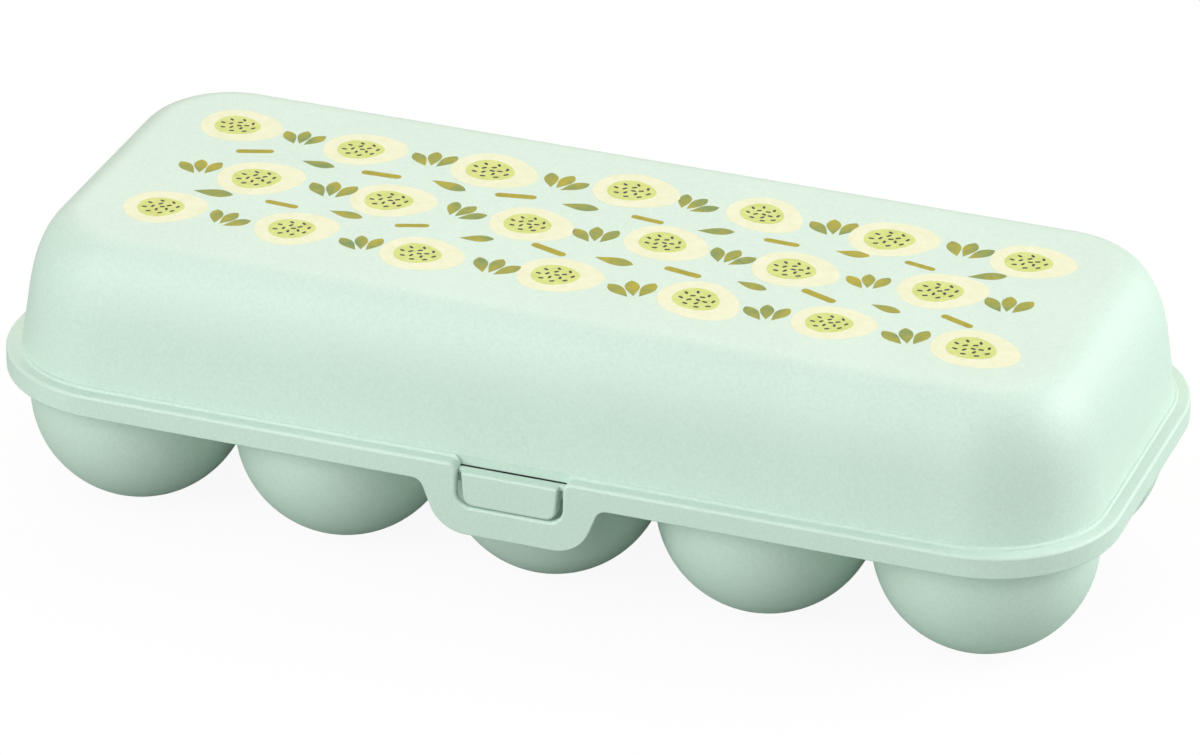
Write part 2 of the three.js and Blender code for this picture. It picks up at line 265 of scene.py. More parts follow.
# %% Colours and the plastic
def linear(hex_code):
    """An sRGB hex colour as the linear values that a shader works in."""
    values = [int(hex_code[i:i + 2], 16) / 255 for i in (1, 3, 5)]
    return [v / 12.92 if v <= 0.04045 else ((v + 0.055) / 1.055) ** 2.4 for v in values] + [1]


def add_node(tree, kind, inputs=(), **settings):
    """Adds a node, with its settings, and its inputs given as values or as another node's output."""
    node = tree.nodes.new(kind)
    for key, value in settings.items():
        setattr(node, key, value)
    for key, value in dict(inputs).items():
        if isinstance(value, bpy.types.NodeSocket):
            tree.links.new(value, node.inputs[key])
        else:
            node.inputs[key].default_value = value
    return node


def new_material(name):
    made = bpy.data.materials.new(name)
    made.use_nodes = True
    tree = made.node_tree
    return made, tree, tree.nodes["Principled BSDF"]


def noise_scale(size_mm):
    """The noise scale whose lumps are this far apart, for coordinates in metres."""
    return 1 / (size_mm * MM)


FLOW_MM, GRAIN_SHARE, GLOSS_SPREAD = 38, 0.75, 0.05
POLYPROPYLENE_IOR, SKIN_SPECULAR = 1.49, 0.85


def satin_plastic(name, light_hex, dark_hex, grain_mm, grain_height_mm, roughness):
    """Moulded plastic: its tint, bump and gloss all follow one fine grain, and the tint a wide flow too."""
    material, tree, plastic = new_material(name)
    where = add_node(tree, "ShaderNodeTexCoord").outputs["Object"]
    flow = add_node(tree, "ShaderNodeTexNoise", {"Vector": where, "Scale": noise_scale(FLOW_MM), "Detail": 2})
    grain = add_node(tree, "ShaderNodeTexNoise",
                     {"Vector": where, "Scale": noise_scale(grain_mm), "Detail": 3, "Roughness": 0.6})
    mottle = add_node(tree, "ShaderNodeMix", {0: GRAIN_SHARE, 2: flow.outputs[0], 3: grain.outputs[0]})
    tint = add_node(tree, "ShaderNodeMix", {0: mottle.outputs[0], 6: linear(dark_hex), 7: linear(light_hex)},
                    data_type="RGBA")
    bump = add_node(tree, "ShaderNodeBump",
                    {"Strength": 1, "Distance": grain_height_mm * MM, "Height": grain.outputs[0]})
    gloss = add_node(tree, "ShaderNodeMapRange", {
        "Value": grain.outputs[0], "To Min": roughness - GLOSS_SPREAD, "To Max": roughness + GLOSS_SPREAD})
    tree.links.new(tint.outputs[2], plastic.inputs["Base Color"])
    tree.links.new(gloss.outputs[0], plastic.inputs["Roughness"])
    tree.links.new(bump.outputs[0], plastic.inputs["Normal"])
    plastic.inputs["IOR"].default_value = POLYPROPYLENE_IOR
    plastic.inputs["Specular IOR Level"].default_value = SKIN_SPECULAR
    return material


MOULDED = satin_plastic("satin moulded polypropylene, mint", "#D4EDE0", "#BCD3C4",
                        grain_mm=0.8, grain_height_mm=0.014, roughness=0.52)
ROD = satin_plastic("smooth extruded polypropylene rod, mint", "#CBE4D6", "#C6DFD1",
                    grain_mm=0.9, grain_height_mm=0.002, roughness=0.34)
print("plastics:", MOULDED.name, "and", ROD.name)

# %% [markdown]
# The lid's wall is one shell of even thickness. Its section is drawn once, from the middle of the inside,
# down the inner wall, round the skirt's lower edge and up the outside, and each point becomes a level ring.
# The shoulder is a superellipse, a little squarer than a circle, which gives the box its full, soft look.

# %% Lid shell
SHOULDER_STEPS = 26
SKIRT_FOOT_RADIUS = 0.4
BEAD_WIDTH, BEAD_RISE, BEAD_RADIUS, BEAD_ROOT_RADIUS = 0.72, 0.2, 0.48, 0.18
BEAD_INSET = LEDGE_WIDTH - BEAD_WIDTH
BEAD_TOP_Z = DOME_BASE_Z + BEAD_RISE
CLOSING_REACH = 9


def dome_section(offset):
    """The dome's section from its base to the flat top, as (inset, z), moved into the wall by an offset."""
    points = [(0, 0)]
    straight = DOME_HEIGHT - SHOULDER_HEIGHT
    for step in range(SHOULDER_STEPS + 1):
        angle = math.pi / 2 * step / SHOULDER_STEPS
        rise = straight + SHOULDER_HEIGHT * math.sin(angle) ** (2 / SHOULDER_POWER)
        turn_in = SHOULDER_WIDTH * (1 - max(0, math.cos(angle)) ** (2 / SHOULDER_POWER))
        points.append((math.tan(DOME_DRAFT) * rise + turn_in, rise))
    rings = []
    for i, (inset, rise) in enumerate(points):
        before, after = points[max(0, i - 1)], points[min(len(points) - 1, i + 1)]
        top = i == len(points) - 1
        slope = math.pi / 2 if top else math.atan2(after[0] - before[0], after[1] - before[1])
        across, up = math.cos(slope), math.sin(slope)
        corner = SKIRT_CORNER_RADIUS - LEDGE_WIDTH - CORNER_TIGHTENING * inset
        rings.append((LEDGE_WIDTH + inset + offset * across, DOME_BASE_Z + rise - offset * up,
                      corner - offset * across))
    return rings


def rounded_section(corners):
    """A stretch of the section with filleted corners, as (inset, z, plan corner radius)."""
    ends = [[*corners[0][:2], 0], *[list(c) for c in corners[1:-1]], [*corners[-1][:2], 0]]
    far = ends[-1][0] + CLOSING_REACH
    closed = ends + [[far, ends[-1][1], 0], [far, ends[0][1], 0]]
    drawn = inset_outline([[-u, v, r] for u, v, r in closed], 0)[:-2]
    return [(-p.x, p.y, SKIRT_CORNER_RADIUS + p.x if -p.x < LEDGE_WIDTH else
             SKIRT_CORNER_RADIUS - LEDGE_WIDTH + CORNER_TIGHTENING * (p.x + LEDGE_WIDTH)) for p in drawn]


outer_dome = dome_section(0)
inner_dome = dome_section(DOME_WALL)
neck = LEDGE_WIDTH + DOME_WALL
inside = [*reversed(inner_dome), (neck, LEDGE_BOTTOM_Z, SKIRT_CORNER_RADIUS - neck),
          (SKIRT_WALL, LEDGE_BOTTOM_Z, SKIRT_CORNER_RADIUS - SKIRT_WALL),
          (SKIRT_WALL, SKIRT_BOTTOM_Z, SKIRT_CORNER_RADIUS - SKIRT_WALL)]
foot = rounded_section([
    (SKIRT_FOOT_RADIUS * 2, SKIRT_BOTTOM_Z, 0), (0, SKIRT_BOTTOM_Z, SKIRT_FOOT_RADIUS),
    (0, LEDGE_TOP_Z, SKIRT_EDGE_RADIUS), (BEAD_INSET, LEDGE_TOP_Z, BEAD_ROOT_RADIUS),
    (BEAD_INSET, BEAD_TOP_Z, BEAD_RADIUS),
    (LEDGE_WIDTH + math.tan(DOME_DRAFT) * BEAD_RISE, BEAD_TOP_Z, BEAD_ROOT_RADIUS),
    (outer_dome[1][0], outer_dome[1][1], 0)])
lid = loft("lid_shell", [plan_ring(*ring) for ring in [*inside, *foot, *outer_dome[2:]]])
print("lid section", len(inside) + len(foot) + len(outer_dome) - 2, "rings")

# %% [markdown]
# The clasp flap is part of the same moulding: a tongue that hangs from the skirt, with hollow fillets where
# it leaves the lower edge. It is drawn as a plate with rounded edges, set into a notch in the skirt so that
# both fronts are flush. The window is then cut with a tool whose sides flare out towards the front, as a
# mould's do, so its rim and the skirt's upper edge run into each other without a step.

# %% Clasp flap and its window
WINDOW_BOTTOM_Z = RIM_TOP_Z - CATCH_HEIGHT - WINDOW_BOTTOM_GAP
FLAP_BOTTOM_Z = WINDOW_BOTTOM_Z - FLAP_BAR_HEIGHT
FLAP_EDGE_RADIUS = SKIRT_FOOT_RADIUS
WINDOW_HALF = CATCH_TOP_HALF + WINDOW_SIDE_GAP
WINDOW_TOP_RADIUS = 2.3
WINDOW_LIFT = 0.5
STRIP_HALF = FLAP_TOP_HALF + FLAP_SPREAD
STRIP_RISE = 2
STRIP_TOP_Z = SKIRT_BOTTOM_Z + STRIP_RISE
PAST = 1  # how far a cut runs past the face that it opens


def box_cut(name, x, y, z):
    """A plain block between two values along each axis."""
    return loft(name, [[(x[0], y[0], h), (x[1], y[0], h), (x[1], y[1], h), (x[0], y[1], h)] for h in z])


notch = box_cut("notch", (-STRIP_HALF, STRIP_HALF), (FRONT_Y - PAST, FRONT_Y + SKIRT_WALL),
                (SKIRT_BOTTOM_Z - PAST, STRIP_TOP_Z))
combine(lid, notch, "DIFFERENCE")


def tongue_outline(inset):
    """The flap's outline, drawn in by an inset. The strip above it, which fills the notch, isn't drawn in."""
    drawn = inset_outline([
        [-STRIP_HALF - PAST, SKIRT_BOTTOM_Z, 0], [-FLAP_TOP_HALF, SKIRT_BOTTOM_Z, FLAP_NECK_RADIUS],
        [-FLAP_BOTTOM_HALF, FLAP_BOTTOM_Z, FLAP_CORNER_RADIUS],
        [FLAP_BOTTOM_HALF, FLAP_BOTTOM_Z, FLAP_CORNER_RADIUS],
        [FLAP_TOP_HALF, SKIRT_BOTTOM_Z, FLAP_NECK_RADIUS], [STRIP_HALF + PAST, SKIRT_BOTTOM_Z, 0],
        [STRIP_HALF + PAST, STRIP_TOP_Z + PAST, 0], [-STRIP_HALF - PAST, STRIP_TOP_Z + PAST, 0]], inset)
    for corner, x, z in ((0, -1, None), (-3, 1, None), (-2, 1, STRIP_TOP_Z), (-1, -1, STRIP_TOP_Z)):
        drawn[corner] = Vector((x * STRIP_HALF, z or drawn[corner].y))
    return drawn


tongue = loft("tongue", [[(p.x, FRONT_Y + d, p.y) for p in tongue_outline(inset)]
                         for d, inset in edge_arc(FLAP_EDGE_RADIUS) + [(SKIRT_WALL, 0)]])
combine(lid, tongue, "UNION")


def window_ring(depth, flare, ledge=LEDGE_TOP_Z):
    """The window's outline at a depth behind the front, opened by a flare, up to the ledge's height there."""
    wide = WINDOW_HALF + 4 * WINDOW_TOP_RADIUS
    return [(p.x, FRONT_Y + depth, p.y) for p in inset_outline([
        [-WINDOW_HALF, WINDOW_BOTTOM_Z, WINDOW_CORNER_RADIUS],
        [WINDOW_HALF, WINDOW_BOTTOM_Z, WINDOW_CORNER_RADIUS],
        [WINDOW_HALF, ledge, WINDOW_TOP_RADIUS], [wide, ledge + WINDOW_LIFT, 0],
        [wide, ledge + 3 * PAST, 0], [-wide, ledge + 3 * PAST, 0], [-wide, ledge + WINDOW_LIFT, 0],
        [-WINDOW_HALF, ledge, WINDOW_TOP_RADIUS]], -flare)]


window = loft("window", [window_ring(-PAST, SKIRT_EDGE_RADIUS),
                         *[window_ring(*level) for level in edge_arc(SKIRT_EDGE_RADIUS)],
                         window_ring(BEAD_INSET - BEAD_RADIUS, 0), window_ring(BEAD_INSET, 0, BEAD_TOP_Z),
                         window_ring(LEDGE_WIDTH, 0, BEAD_TOP_Z)])
combine(lid, window, "DIFFERENCE")
print("clasp: window", 2 * WINDOW_HALF, "mm wide, flap down to", round(FLAP_BOTTOM_Z, 2), "mm")

# %% [markdown]
# At the back the lid has a knuckle for each pin, with a heel behind it that meets the tray's ears when the
# lid is fully open. Each is a short plate across the box with softened edges, joined to the skirt.

# %% Hinge knuckles of the lid
SOFT_EDGE = 0.35
ROUND_END = KNUCKLE_RADIUS - 0.01  # a hair less, so that neighbouring fillets don't end in the same point
BORE_RADIUS = PIN_RADIUS + PIN_CLEARANCE
skirt_back = HINGE_Y - HINGE_REACH
for centre in (-HINGE_X, HINGE_X):
    left, right = centre - KNUCKLE_WIDTH / 2, centre + KNUCKLE_WIDTH / 2
    web_top = HINGE_Z + KNUCKLE_RADIUS
    web = side_plate("web", [
        [skirt_back - SKIRT_WALL / 2, SKIRT_BOTTOM_Z, 0], [HINGE_Y, SKIRT_BOTTOM_Z, 0], [HINGE_Y, web_top, 0],
        [skirt_back - SKIRT_WALL / 2, web_top, 0]], left, right, SOFT_EDGE)
    knuckle = side_plate("knuckle", [
        [HINGE_Y + u * KNUCKLE_RADIUS, HINGE_Z + v * KNUCKLE_RADIUS, ROUND_END]
        for u, v in ((-1, -1), (1, -1), (1, 1), (-1, 1))], left, right, SOFT_EDGE)
    heel = side_plate("heel", [
        [HINGE_Y, HINGE_Z - STOP_THICKNESS / 2, 0],
        [HINGE_Y + STOP_REACH, HINGE_Z - STOP_THICKNESS / 2, 2 * SOFT_EDGE],
        [HINGE_Y + STOP_REACH, HINGE_Z + STOP_THICKNESS / 2, 2 * SOFT_EDGE],
        [HINGE_Y, HINGE_Z + STOP_THICKNESS / 2, 0]], left, right, SOFT_EDGE)
    for part in (web, knuckle, heel):
        combine(lid, part, "UNION")
    combine(lid, rod("bore", BORE_RADIUS, left - PAST, right + PAST), "DIFFERENCE")
print("lid with its knuckles", len(lid.data.polygons), "faces")

# %% [markdown]
# The flap lets go by bending along its root. The mesh gets a few level cuts there, only in the faces near the
# front, so that the knuckles at the back, which hang as low, are left uncut.

# %% Bend line of the flap
BEND_HEIGHT, BEND_CUTS, BEND_TOUCH = 2.6, 8, 1e-7
shape = bmesh.new()
shape.from_mesh(lid.data)
for cut in range(BEND_CUTS + 1):
    level = (SKIRT_BOTTOM_Z - BEND_HEIGHT * cut / BEND_CUTS) * MM
    flap_faces = [f for f in shape.faces if f.calc_center_median().y < (FRONT_Y + 2 * SKIRT_WALL) * MM
                  and min(v.co.z for v in f.verts) < level]
    around = list({e for f in flap_faces for e in f.edges} | {v for f in flap_faces for v in f.verts})
    bmesh.ops.bisect_plane(shape, geom=flap_faces + around, dist=BEND_TOUCH, plane_co=(0, 0, level),
                           plane_no=(0, 0, 1))
shape.to_mesh(lid.data)
shape.free()
finish_surface(lid, "lid_and_clasp", MOULDED)
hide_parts("lid", "clasp_flap")
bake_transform(lid)

# %% [markdown]
# The ten cups are one shape that repeats on a grid, so a small Geometry Nodes tree sets them out: it takes
# the cup, the counts and the pitches as named inputs. The same tree lays out the cups' outsides, which are
# melted into one solid, and the hollows that are cut from them.

# %% A tree that sets one shape out on a grid
def named_inputs(tree, sockets):
    """Gives a tree its named inputs and a geometry output, and returns the node that feeds them."""
    for label, kind in sockets:
        tree.interface.new_socket(name=label, in_out="INPUT", socket_type="NodeSocket" + kind)
    tree.interface.new_socket(name="Geometry", in_out="OUTPUT", socket_type="NodeSocketGeometry")
    return tree.nodes.new("NodeGroupInput").outputs


def run_tree(name, tree, values):
    """Puts a tree on an empty mesh with these input values, and returns what it makes as a plain mesh."""
    made = bpy.data.objects.new(name, bpy.data.meshes.new(name))
    bpy.context.scene.collection.objects.link(made)
    layer = made.modifiers.new(tree.name, "NODES")
    layer.node_group = tree
    sockets = {item.name: item.identifier for item in tree.interface.items_tree if item.in_out == "INPUT"}
    for label, value in values.items():
        layer[sockets[label]] = value
    return applied(made)


grid_tree = bpy.data.node_groups.new("shapes on a grid", "GeometryNodeTree")
given = named_inputs(grid_tree, [
    ("Shape", "Object"), ("Columns", "Int"), ("Rows", "Int"), ("Column pitch", "Float"),
    ("Row pitch", "Float"), ("Centre Y", "Float"), ("Finish", "Material")])


def grid_length(count, pitch):
    gaps = add_node(grid_tree, "ShaderNodeMath", {0: given[count], 1: 1.0}, operation="SUBTRACT")
    return add_node(grid_tree, "ShaderNodeMath", {0: gaps.outputs[0], 1: given[pitch]},
                    operation="MULTIPLY").outputs[0]


places = add_node(grid_tree, "GeometryNodeMeshGrid", {
    0: grid_length("Columns", "Column pitch"), 1: grid_length("Rows", "Row pitch"),
    2: given["Columns"], 3: given["Rows"]})
shift = add_node(grid_tree, "ShaderNodeCombineXYZ", {1: given["Centre Y"]})
moved = add_node(grid_tree, "GeometryNodeTransform", {0: places.outputs[0], 1: shift.outputs[0]})
shape_in = add_node(grid_tree, "GeometryNodeObjectInfo", {"Object": given["Shape"]})
copies = add_node(grid_tree, "GeometryNodeInstanceOnPoints",
                  {"Points": moved.outputs[0], "Instance": shape_in.outputs["Geometry"]})
melted = add_node(grid_tree, "GeometryNodeMeshBoolean", {"Mesh 2": copies.outputs[0]},
                  operation="UNION", solver="MANIFOLD")
real = add_node(grid_tree, "GeometryNodeRealizeInstances", {0: melted.outputs[0]})
finished = add_node(grid_tree, "GeometryNodeSetMaterial", {0: real.outputs[0], 2: given["Finish"]})
add_node(grid_tree, "NodeGroupOutput", {0: finished.outputs[0]})
print(grid_tree.name + ":", len(grid_tree.nodes), "nodes")

# %% [markdown]
# A cup is a turned shape: a round bowl with a small flat to stand on, which runs up into a straight collar.
# It could be cut from a sphere, but a section that is spun about the upright axis gives level rings with even
# steps. The hollow is a second one, smaller by the wall, whose mouth is rounded where it meets the deck.

# %% Cups and their hollows
CUP_SIDES, BOWL_STEPS, POLE_ANGLE = 96, 26, 0.01
MOUTH_RADIUS = 0.8


def turned(name, section):
    """A solid turned about the vertical axis, from (radius, z) points, lowest first."""
    turns = [2 * math.pi * i / CUP_SIDES for i in range(CUP_SIDES)]
    return loft(name, [[(r * math.cos(a), r * math.sin(a), z) for a in turns] for r, z in section])


def bowl_section(radius, lowest_z):
    """A round bowl's section from its lowest flat up to its widest part."""
    start = max(math.acos(min(1, (CUP_CENTRE_Z - lowest_z) / radius)), POLE_ANGLE)
    angles = [start + (math.pi / 2 - start) * step / BOWL_STEPS for step in range(BOWL_STEPS + 1)]
    return [(radius * math.sin(a), CUP_CENTRE_Z - radius * math.cos(a)) for a in angles]


cup = turned("cup", bowl_section(CUP_RADIUS, 0) + [(CUP_RADIUS, DECK_TOP_Z - DECK_THICKNESS / 2)])
mouth = [(CUP_BORE_RADIUS + inset, DECK_TOP_Z - d) for d, inset in edge_arc(MOUTH_RADIUS)]
hollow = turned("hollow", bowl_section(CUP_BORE_RADIUS, CUP_CENTRE_Z - CUP_BORE_RADIUS) + mouth[::-1]
                + [(CUP_BORE_RADIUS + MOUTH_RADIUS, DECK_TOP_Z + PAST)])
layout = {"Columns": CUPS_PER_ROW, "Rows": ROW_COUNT, "Column pitch": CUP_PITCH * MM,
          "Row pitch": ROW_PITCH * MM, "Centre Y": CENTRE_Y * MM, "Finish": MOULDED}
cups = run_tree("cups", grid_tree, {"Shape": cup, **layout})
hollows = run_tree("hollows", grid_tree, {"Shape": hollow, **layout})
print("cups", len(cups.data.polygons), "faces, hollows", len(hollows.data.polygons))

# %% [markdown]
# The deck carries a low rim all round, on which the lid sits. It is one loft like the lid: from the middle
# of the well, up the inside of the rim, over its rounded top and down to the underside. The catch is a
# rounded block on its front that fills the clasp's window. A shallow groove behind the window leaves the
# catch standing clear, which is what draws the dark line round it.

# %% Tray
RIM_EDGE, RIM_CROWN, WELL_FILLET = 0.4, 0.2, 0.6
well = RIM_INSET + RIM_WALL
crown_z = RIM_TOP_Z + RIM_CROWN


def tray_ring(inset, z):
    return plan_ring(inset, z, SKIRT_CORNER_RADIUS - inset)


rim = [(well + inset, DECK_TOP_Z + d) for d, inset in edge_arc(WELL_FILLET)]
rim += [(well - d, crown_z - inset) for d, inset in edge_arc(RIM_EDGE)]
rim += [(RIM_INSET + inset, crown_z - d) for d, inset in edge_arc(RIM_EDGE)]
rim += [(RIM_INSET, DECK_BOTTOM_Z + RIM_EDGE), (RIM_INSET + RIM_EDGE / 3, DECK_BOTTOM_Z + RIM_EDGE / 3),
        (RIM_INSET + RIM_EDGE, DECK_BOTTOM_Z)]
tray = loft("tray", [tray_ring(*level) for level in rim])
combine(tray, cups, "UNION")

GROOVE_DEPTH, GROOVE_REACH, CATCH_ROOT = 0.9, 1.2, 0.3
groove = box_cut("groove", (-WINDOW_HALF - GROOVE_REACH, WINDOW_HALF + GROOVE_REACH),
                 (FRONT_Y + RIM_INSET - PAST, FRONT_Y + RIM_INSET + GROOVE_DEPTH),
                 (DECK_BOTTOM_Z - PAST, RIM_TOP_Z - GROOVE_DEPTH))
combine(tray, groove, "DIFFERENCE")
catch_bottom = RIM_TOP_Z - CATCH_HEIGHT
catch = front_plate("catch", [
    [-CATCH_BOTTOM_HALF, catch_bottom, CATCH_CORNER_RADIUS],
    [CATCH_BOTTOM_HALF, catch_bottom, CATCH_CORNER_RADIUS],
    [CATCH_TOP_HALF, crown_z, CATCH_EDGE_RADIUS], [-CATCH_TOP_HALF, crown_z, CATCH_EDGE_RADIUS]],
    RIM_INSET + GROOVE_DEPTH + CATCH_ROOT, CATCH_EDGE_RADIUS)
combine(tray, catch, "UNION")
print("tray with its cups and catch", len(tray.data.polygons), "faces")

# %% [markdown]
# Behind the rim, a flat arm under the lid's skirt carries two ears for each pin. An ear is a round-topped
# plate, and the arm runs from ear to ear below the knuckle.

# %% Hinge ears
EAR_FOOT_RADIUS = 1.2
rim_back = HINGE_Y - HINGE_REACH - RIM_INSET
arm_top = SKIRT_BOTTOM_Z - ARM_DROP
arm_bottom = arm_top - ARM_THICKNESS
post_front = rim_back - ARM_POST_DEPTH
for centre in (-HINGE_X, HINGE_X):
    half = KNUCKLE_WIDTH / 2 + EAR_GAP + EAR_WIDTH
    arm_back = HINGE_Y - KNUCKLE_RADIUS - ARM_SETBACK
    arm = side_plate("arm", [
        [post_front, arm_bottom, SOFT_EDGE], [arm_back, arm_bottom, SOFT_EDGE],
        [arm_back, arm_top, SOFT_EDGE], [rim_back, arm_top, 0], [rim_back, DECK_TOP_Z - SOFT_EDGE, 0],
        [post_front, DECK_TOP_Z - SOFT_EDGE, 0]], centre - half, centre + half, SOFT_EDGE)
    combine(tray, arm, "UNION")
    for side in (-1, 1):
        middle = centre + side * (half - EAR_WIDTH / 2)
        ear = side_plate("ear", [
            [rim_back - RIM_WALL / 2, arm_bottom, 0], [HINGE_Y + KNUCKLE_RADIUS, arm_bottom, EAR_FOOT_RADIUS],
            [HINGE_Y + KNUCKLE_RADIUS, HINGE_Z + KNUCKLE_RADIUS, ROUND_END],
            [HINGE_Y - KNUCKLE_RADIUS, HINGE_Z + KNUCKLE_RADIUS, ROUND_END],
            [HINGE_Y - KNUCKLE_RADIUS, arm_top, SOFT_EDGE], [rim_back - RIM_WALL / 2, arm_top, 0]],
            middle - EAR_WIDTH / 2, middle + EAR_WIDTH / 2, SOFT_EDGE)
        combine(tray, ear, "UNION")
    combine(tray, rod("bore", BORE_RADIUS, centre - half - PAST, centre + half + PAST), "DIFFERENCE")
combine(tray, hollows, "DIFFERENCE")
for spare in (cup, hollow):
    bpy.data.objects.remove(spare)
finish_surface(tray, "egg_tray", MOULDED)
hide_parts("base_tray")
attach(tray, "tray")

# %% [markdown]
# The pins are short lengths of extruded rod, with a small chamfer on both ends so that they start easily in
# the bores. A cylinder would do, but a loft with as many sides as the bores keeps the gap round it even.
# They stay with the tray while the lid turns about them.

# %% Hinge pins
PIN_CHAMFER = 0.25
pin_half = KNUCKLE_WIDTH / 2 + EAR_GAP + EAR_WIDTH - PIN_END_SETBACK
for label, centre in (("left", -HINGE_X), ("right", HINGE_X)):
    pin = rod(f"pin_{label}", PIN_RADIUS, centre - pin_half, centre + pin_half, PIN_CHAMFER)
    finish_surface(pin, f"pin_{label}", ROD)
    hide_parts(f"hinge_pin_{label}")
    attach(pin, "tray")

# %% [markdown]
# The lid carries a print in flat inks. The design here is a plain repeat of speckled eggs, tufts of three
# blades, single leaves and short rods, in rows that are staggered by half a step. Each ink is a film a few
# hundredths of a millimetre thick. One tree sets any motif out on the staggered rows, gives each a turn, a
# size and a small shift from a fixed seed, and leaves out what would pass the edge of the printed field.

# %% A tree for the staggered rows
print_tree = bpy.data.node_groups.new("motifs in staggered rows", "GeometryNodeTree")
asked = named_inputs(print_tree, [
    ("Motif", "Object"), ("Columns", "Int"), ("Rows", "Int"), ("Column pitch", "Float"),
    ("Row pitch", "Float"), ("Start X", "Float"), ("Half field", "Float"), ("Centre Y", "Float"),
    ("Height", "Float"), ("Turn", "Float"), ("Wander", "Float"), ("Size spread", "Float"), ("Seed", "Int"),
    ("Ink", "Material")])


def calc(operation, *values):
    return add_node(print_tree, "ShaderNodeMath", dict(enumerate(values)), operation=operation).outputs[0]


def spread_about(middle, label, seed_step):
    """A random value for each motif, within one of the tree's inputs either side of a middle value."""
    return add_node(print_tree, "FunctionNodeRandomValue", {
        2: calc("SUBTRACT", middle, asked[label]), 3: calc("ADD", middle, asked[label]),
        "Seed": calc("ADD", asked["Seed"], seed_step)}).outputs[1]


length = calc("MULTIPLY", calc("SUBTRACT", asked["Columns"], 1.0), asked["Column pitch"])
depth = calc("MULTIPLY", calc("SUBTRACT", asked["Rows"], 1.0), asked["Row pitch"])
lattice = add_node(print_tree, "GeometryNodeMeshGrid",
                   {0: length, 1: depth, 2: asked["Columns"], 3: asked["Rows"]})
row = calc("MODULO", add_node(print_tree, "GeometryNodeInputIndex").outputs[0], asked["Rows"])
half_step = calc("MULTIPLY", calc("MODULO", row, 2.0), calc("MULTIPLY", asked["Column pitch"], 0.5))
slide = add_node(print_tree, "ShaderNodeCombineXYZ", {
    0: calc("ADD", half_step, asked["Start X"]), 1: asked["Centre Y"], 2: asked["Height"]})
staggered = add_node(print_tree, "GeometryNodeSetPosition",
                     {"Geometry": lattice.outputs[0], "Offset": slide.outputs[0]})
spot = add_node(print_tree, "ShaderNodeSeparateXYZ",
                {0: add_node(print_tree, "GeometryNodeInputPosition").outputs[0]})
outside = calc("GREATER_THAN", calc("ABSOLUTE", spot.outputs[0]), asked["Half field"])
kept = add_node(print_tree, "GeometryNodeDeleteGeometry",
                {"Geometry": staggered.outputs[0], "Selection": outside})
shift = add_node(print_tree, "ShaderNodeCombineXYZ", {
    0: spread_about(0.0, "Wander", 1.0), 1: spread_about(0.0, "Wander", 2.0)})
strewn = add_node(print_tree, "GeometryNodeSetPosition",
                  {"Geometry": kept.outputs[0], "Offset": shift.outputs[0]})
spin = add_node(print_tree, "ShaderNodeCombineXYZ", {2: spread_about(0.0, "Turn", 3.0)})
motif_in = add_node(print_tree, "GeometryNodeObjectInfo", {"Object": asked["Motif"]})
stamped = add_node(print_tree, "GeometryNodeInstanceOnPoints", {
    "Points": strewn.outputs[0], "Instance": motif_in.outputs["Geometry"], "Rotation": spin.outputs[0],
    "Scale": spread_about(1.0, "Size spread", 4.0)})
flat = add_node(print_tree, "GeometryNodeRealizeInstances", {0: stamped.outputs[0]})
inked = add_node(print_tree, "GeometryNodeSetMaterial", {0: flat.outputs[0], 2: asked["Ink"]})
add_node(print_tree, "NodeGroupOutput", {0: inked.outputs[0]})
print(print_tree.name + ":", len(print_tree.nodes), "nodes")

# %% [markdown]
# Screen ink lies on the plastic as a thin matt skin. Its tone is a little uneven where the film is thinner,
# which a noise stands for. On the tufts two inks run into each other in wide, brushed patches.

# %% Inks
PATCH_MM, BRUSHED_MM, PATCH_LOW, PATCH_HIGH, INK_ROUGHNESS = 2.2, 9, 0.36, 0.64, 0.5


def screen_ink(name, light_hex, dark_hex, patch_mm=PATCH_MM):
    """A matt ink whose tone shifts between two colours in soft patches of this size."""
    material, tree, ink = new_material(name)
    where = add_node(tree, "ShaderNodeTexCoord").outputs["Object"]
    patches = add_node(tree, "ShaderNodeTexNoise",
                       {"Vector": where, "Scale": noise_scale(patch_mm), "Detail": 5, "Roughness": 0.7})
    spread = add_node(tree, "ShaderNodeMapRange",
                      {"Value": patches.outputs[0], "From Min": PATCH_LOW, "From Max": PATCH_HIGH})
    tone = add_node(tree, "ShaderNodeMix",
                    {0: spread.outputs[0], 6: linear(dark_hex), 7: linear(light_hex)}, data_type="RGBA")
    tree.links.new(tone.outputs[2], ink.inputs["Base Color"])
    ink.inputs["Roughness"].default_value = INK_ROUGHNESS
    return material


CREAM = screen_ink("matt screen ink, cream", "#E2E8CB", "#DCE2BE")
LIME = screen_ink("matt screen ink, lime", "#CED985", "#C1CD6E")
OLIVE_SAGE = screen_ink("matt screen ink, olive and sage", "#A8A00F", "#6C8A49", BRUSHED_MM)
OLIVE = screen_ink("matt screen ink, olive", "#A79F0A", "#949009")
CHARCOAL = screen_ink("matt screen ink, charcoal", "#2E3331", "#252A28")
print("inks:", *[ink.name for ink in (CREAM, LIME, OLIVE_SAGE, OLIVE, CHARCOAL)], sep="\n  ")

# %% [markdown]
# Each ink of a motif is a thin film with an outline of its own: an egg, a blade or a short stroke, each drawn
# from a simple curve. A film that lies on another is one layer higher, as a screen printer lays one colour on
# the last. A picture on the lid would look the same from far off, but a film stays sharp from close by.

# %% Motifs
FILM = 0.03
EGG_TAPER, BLADE_FULLNESS, BLADE_ROUNDNESS = 0.16, 1.4, 0.75


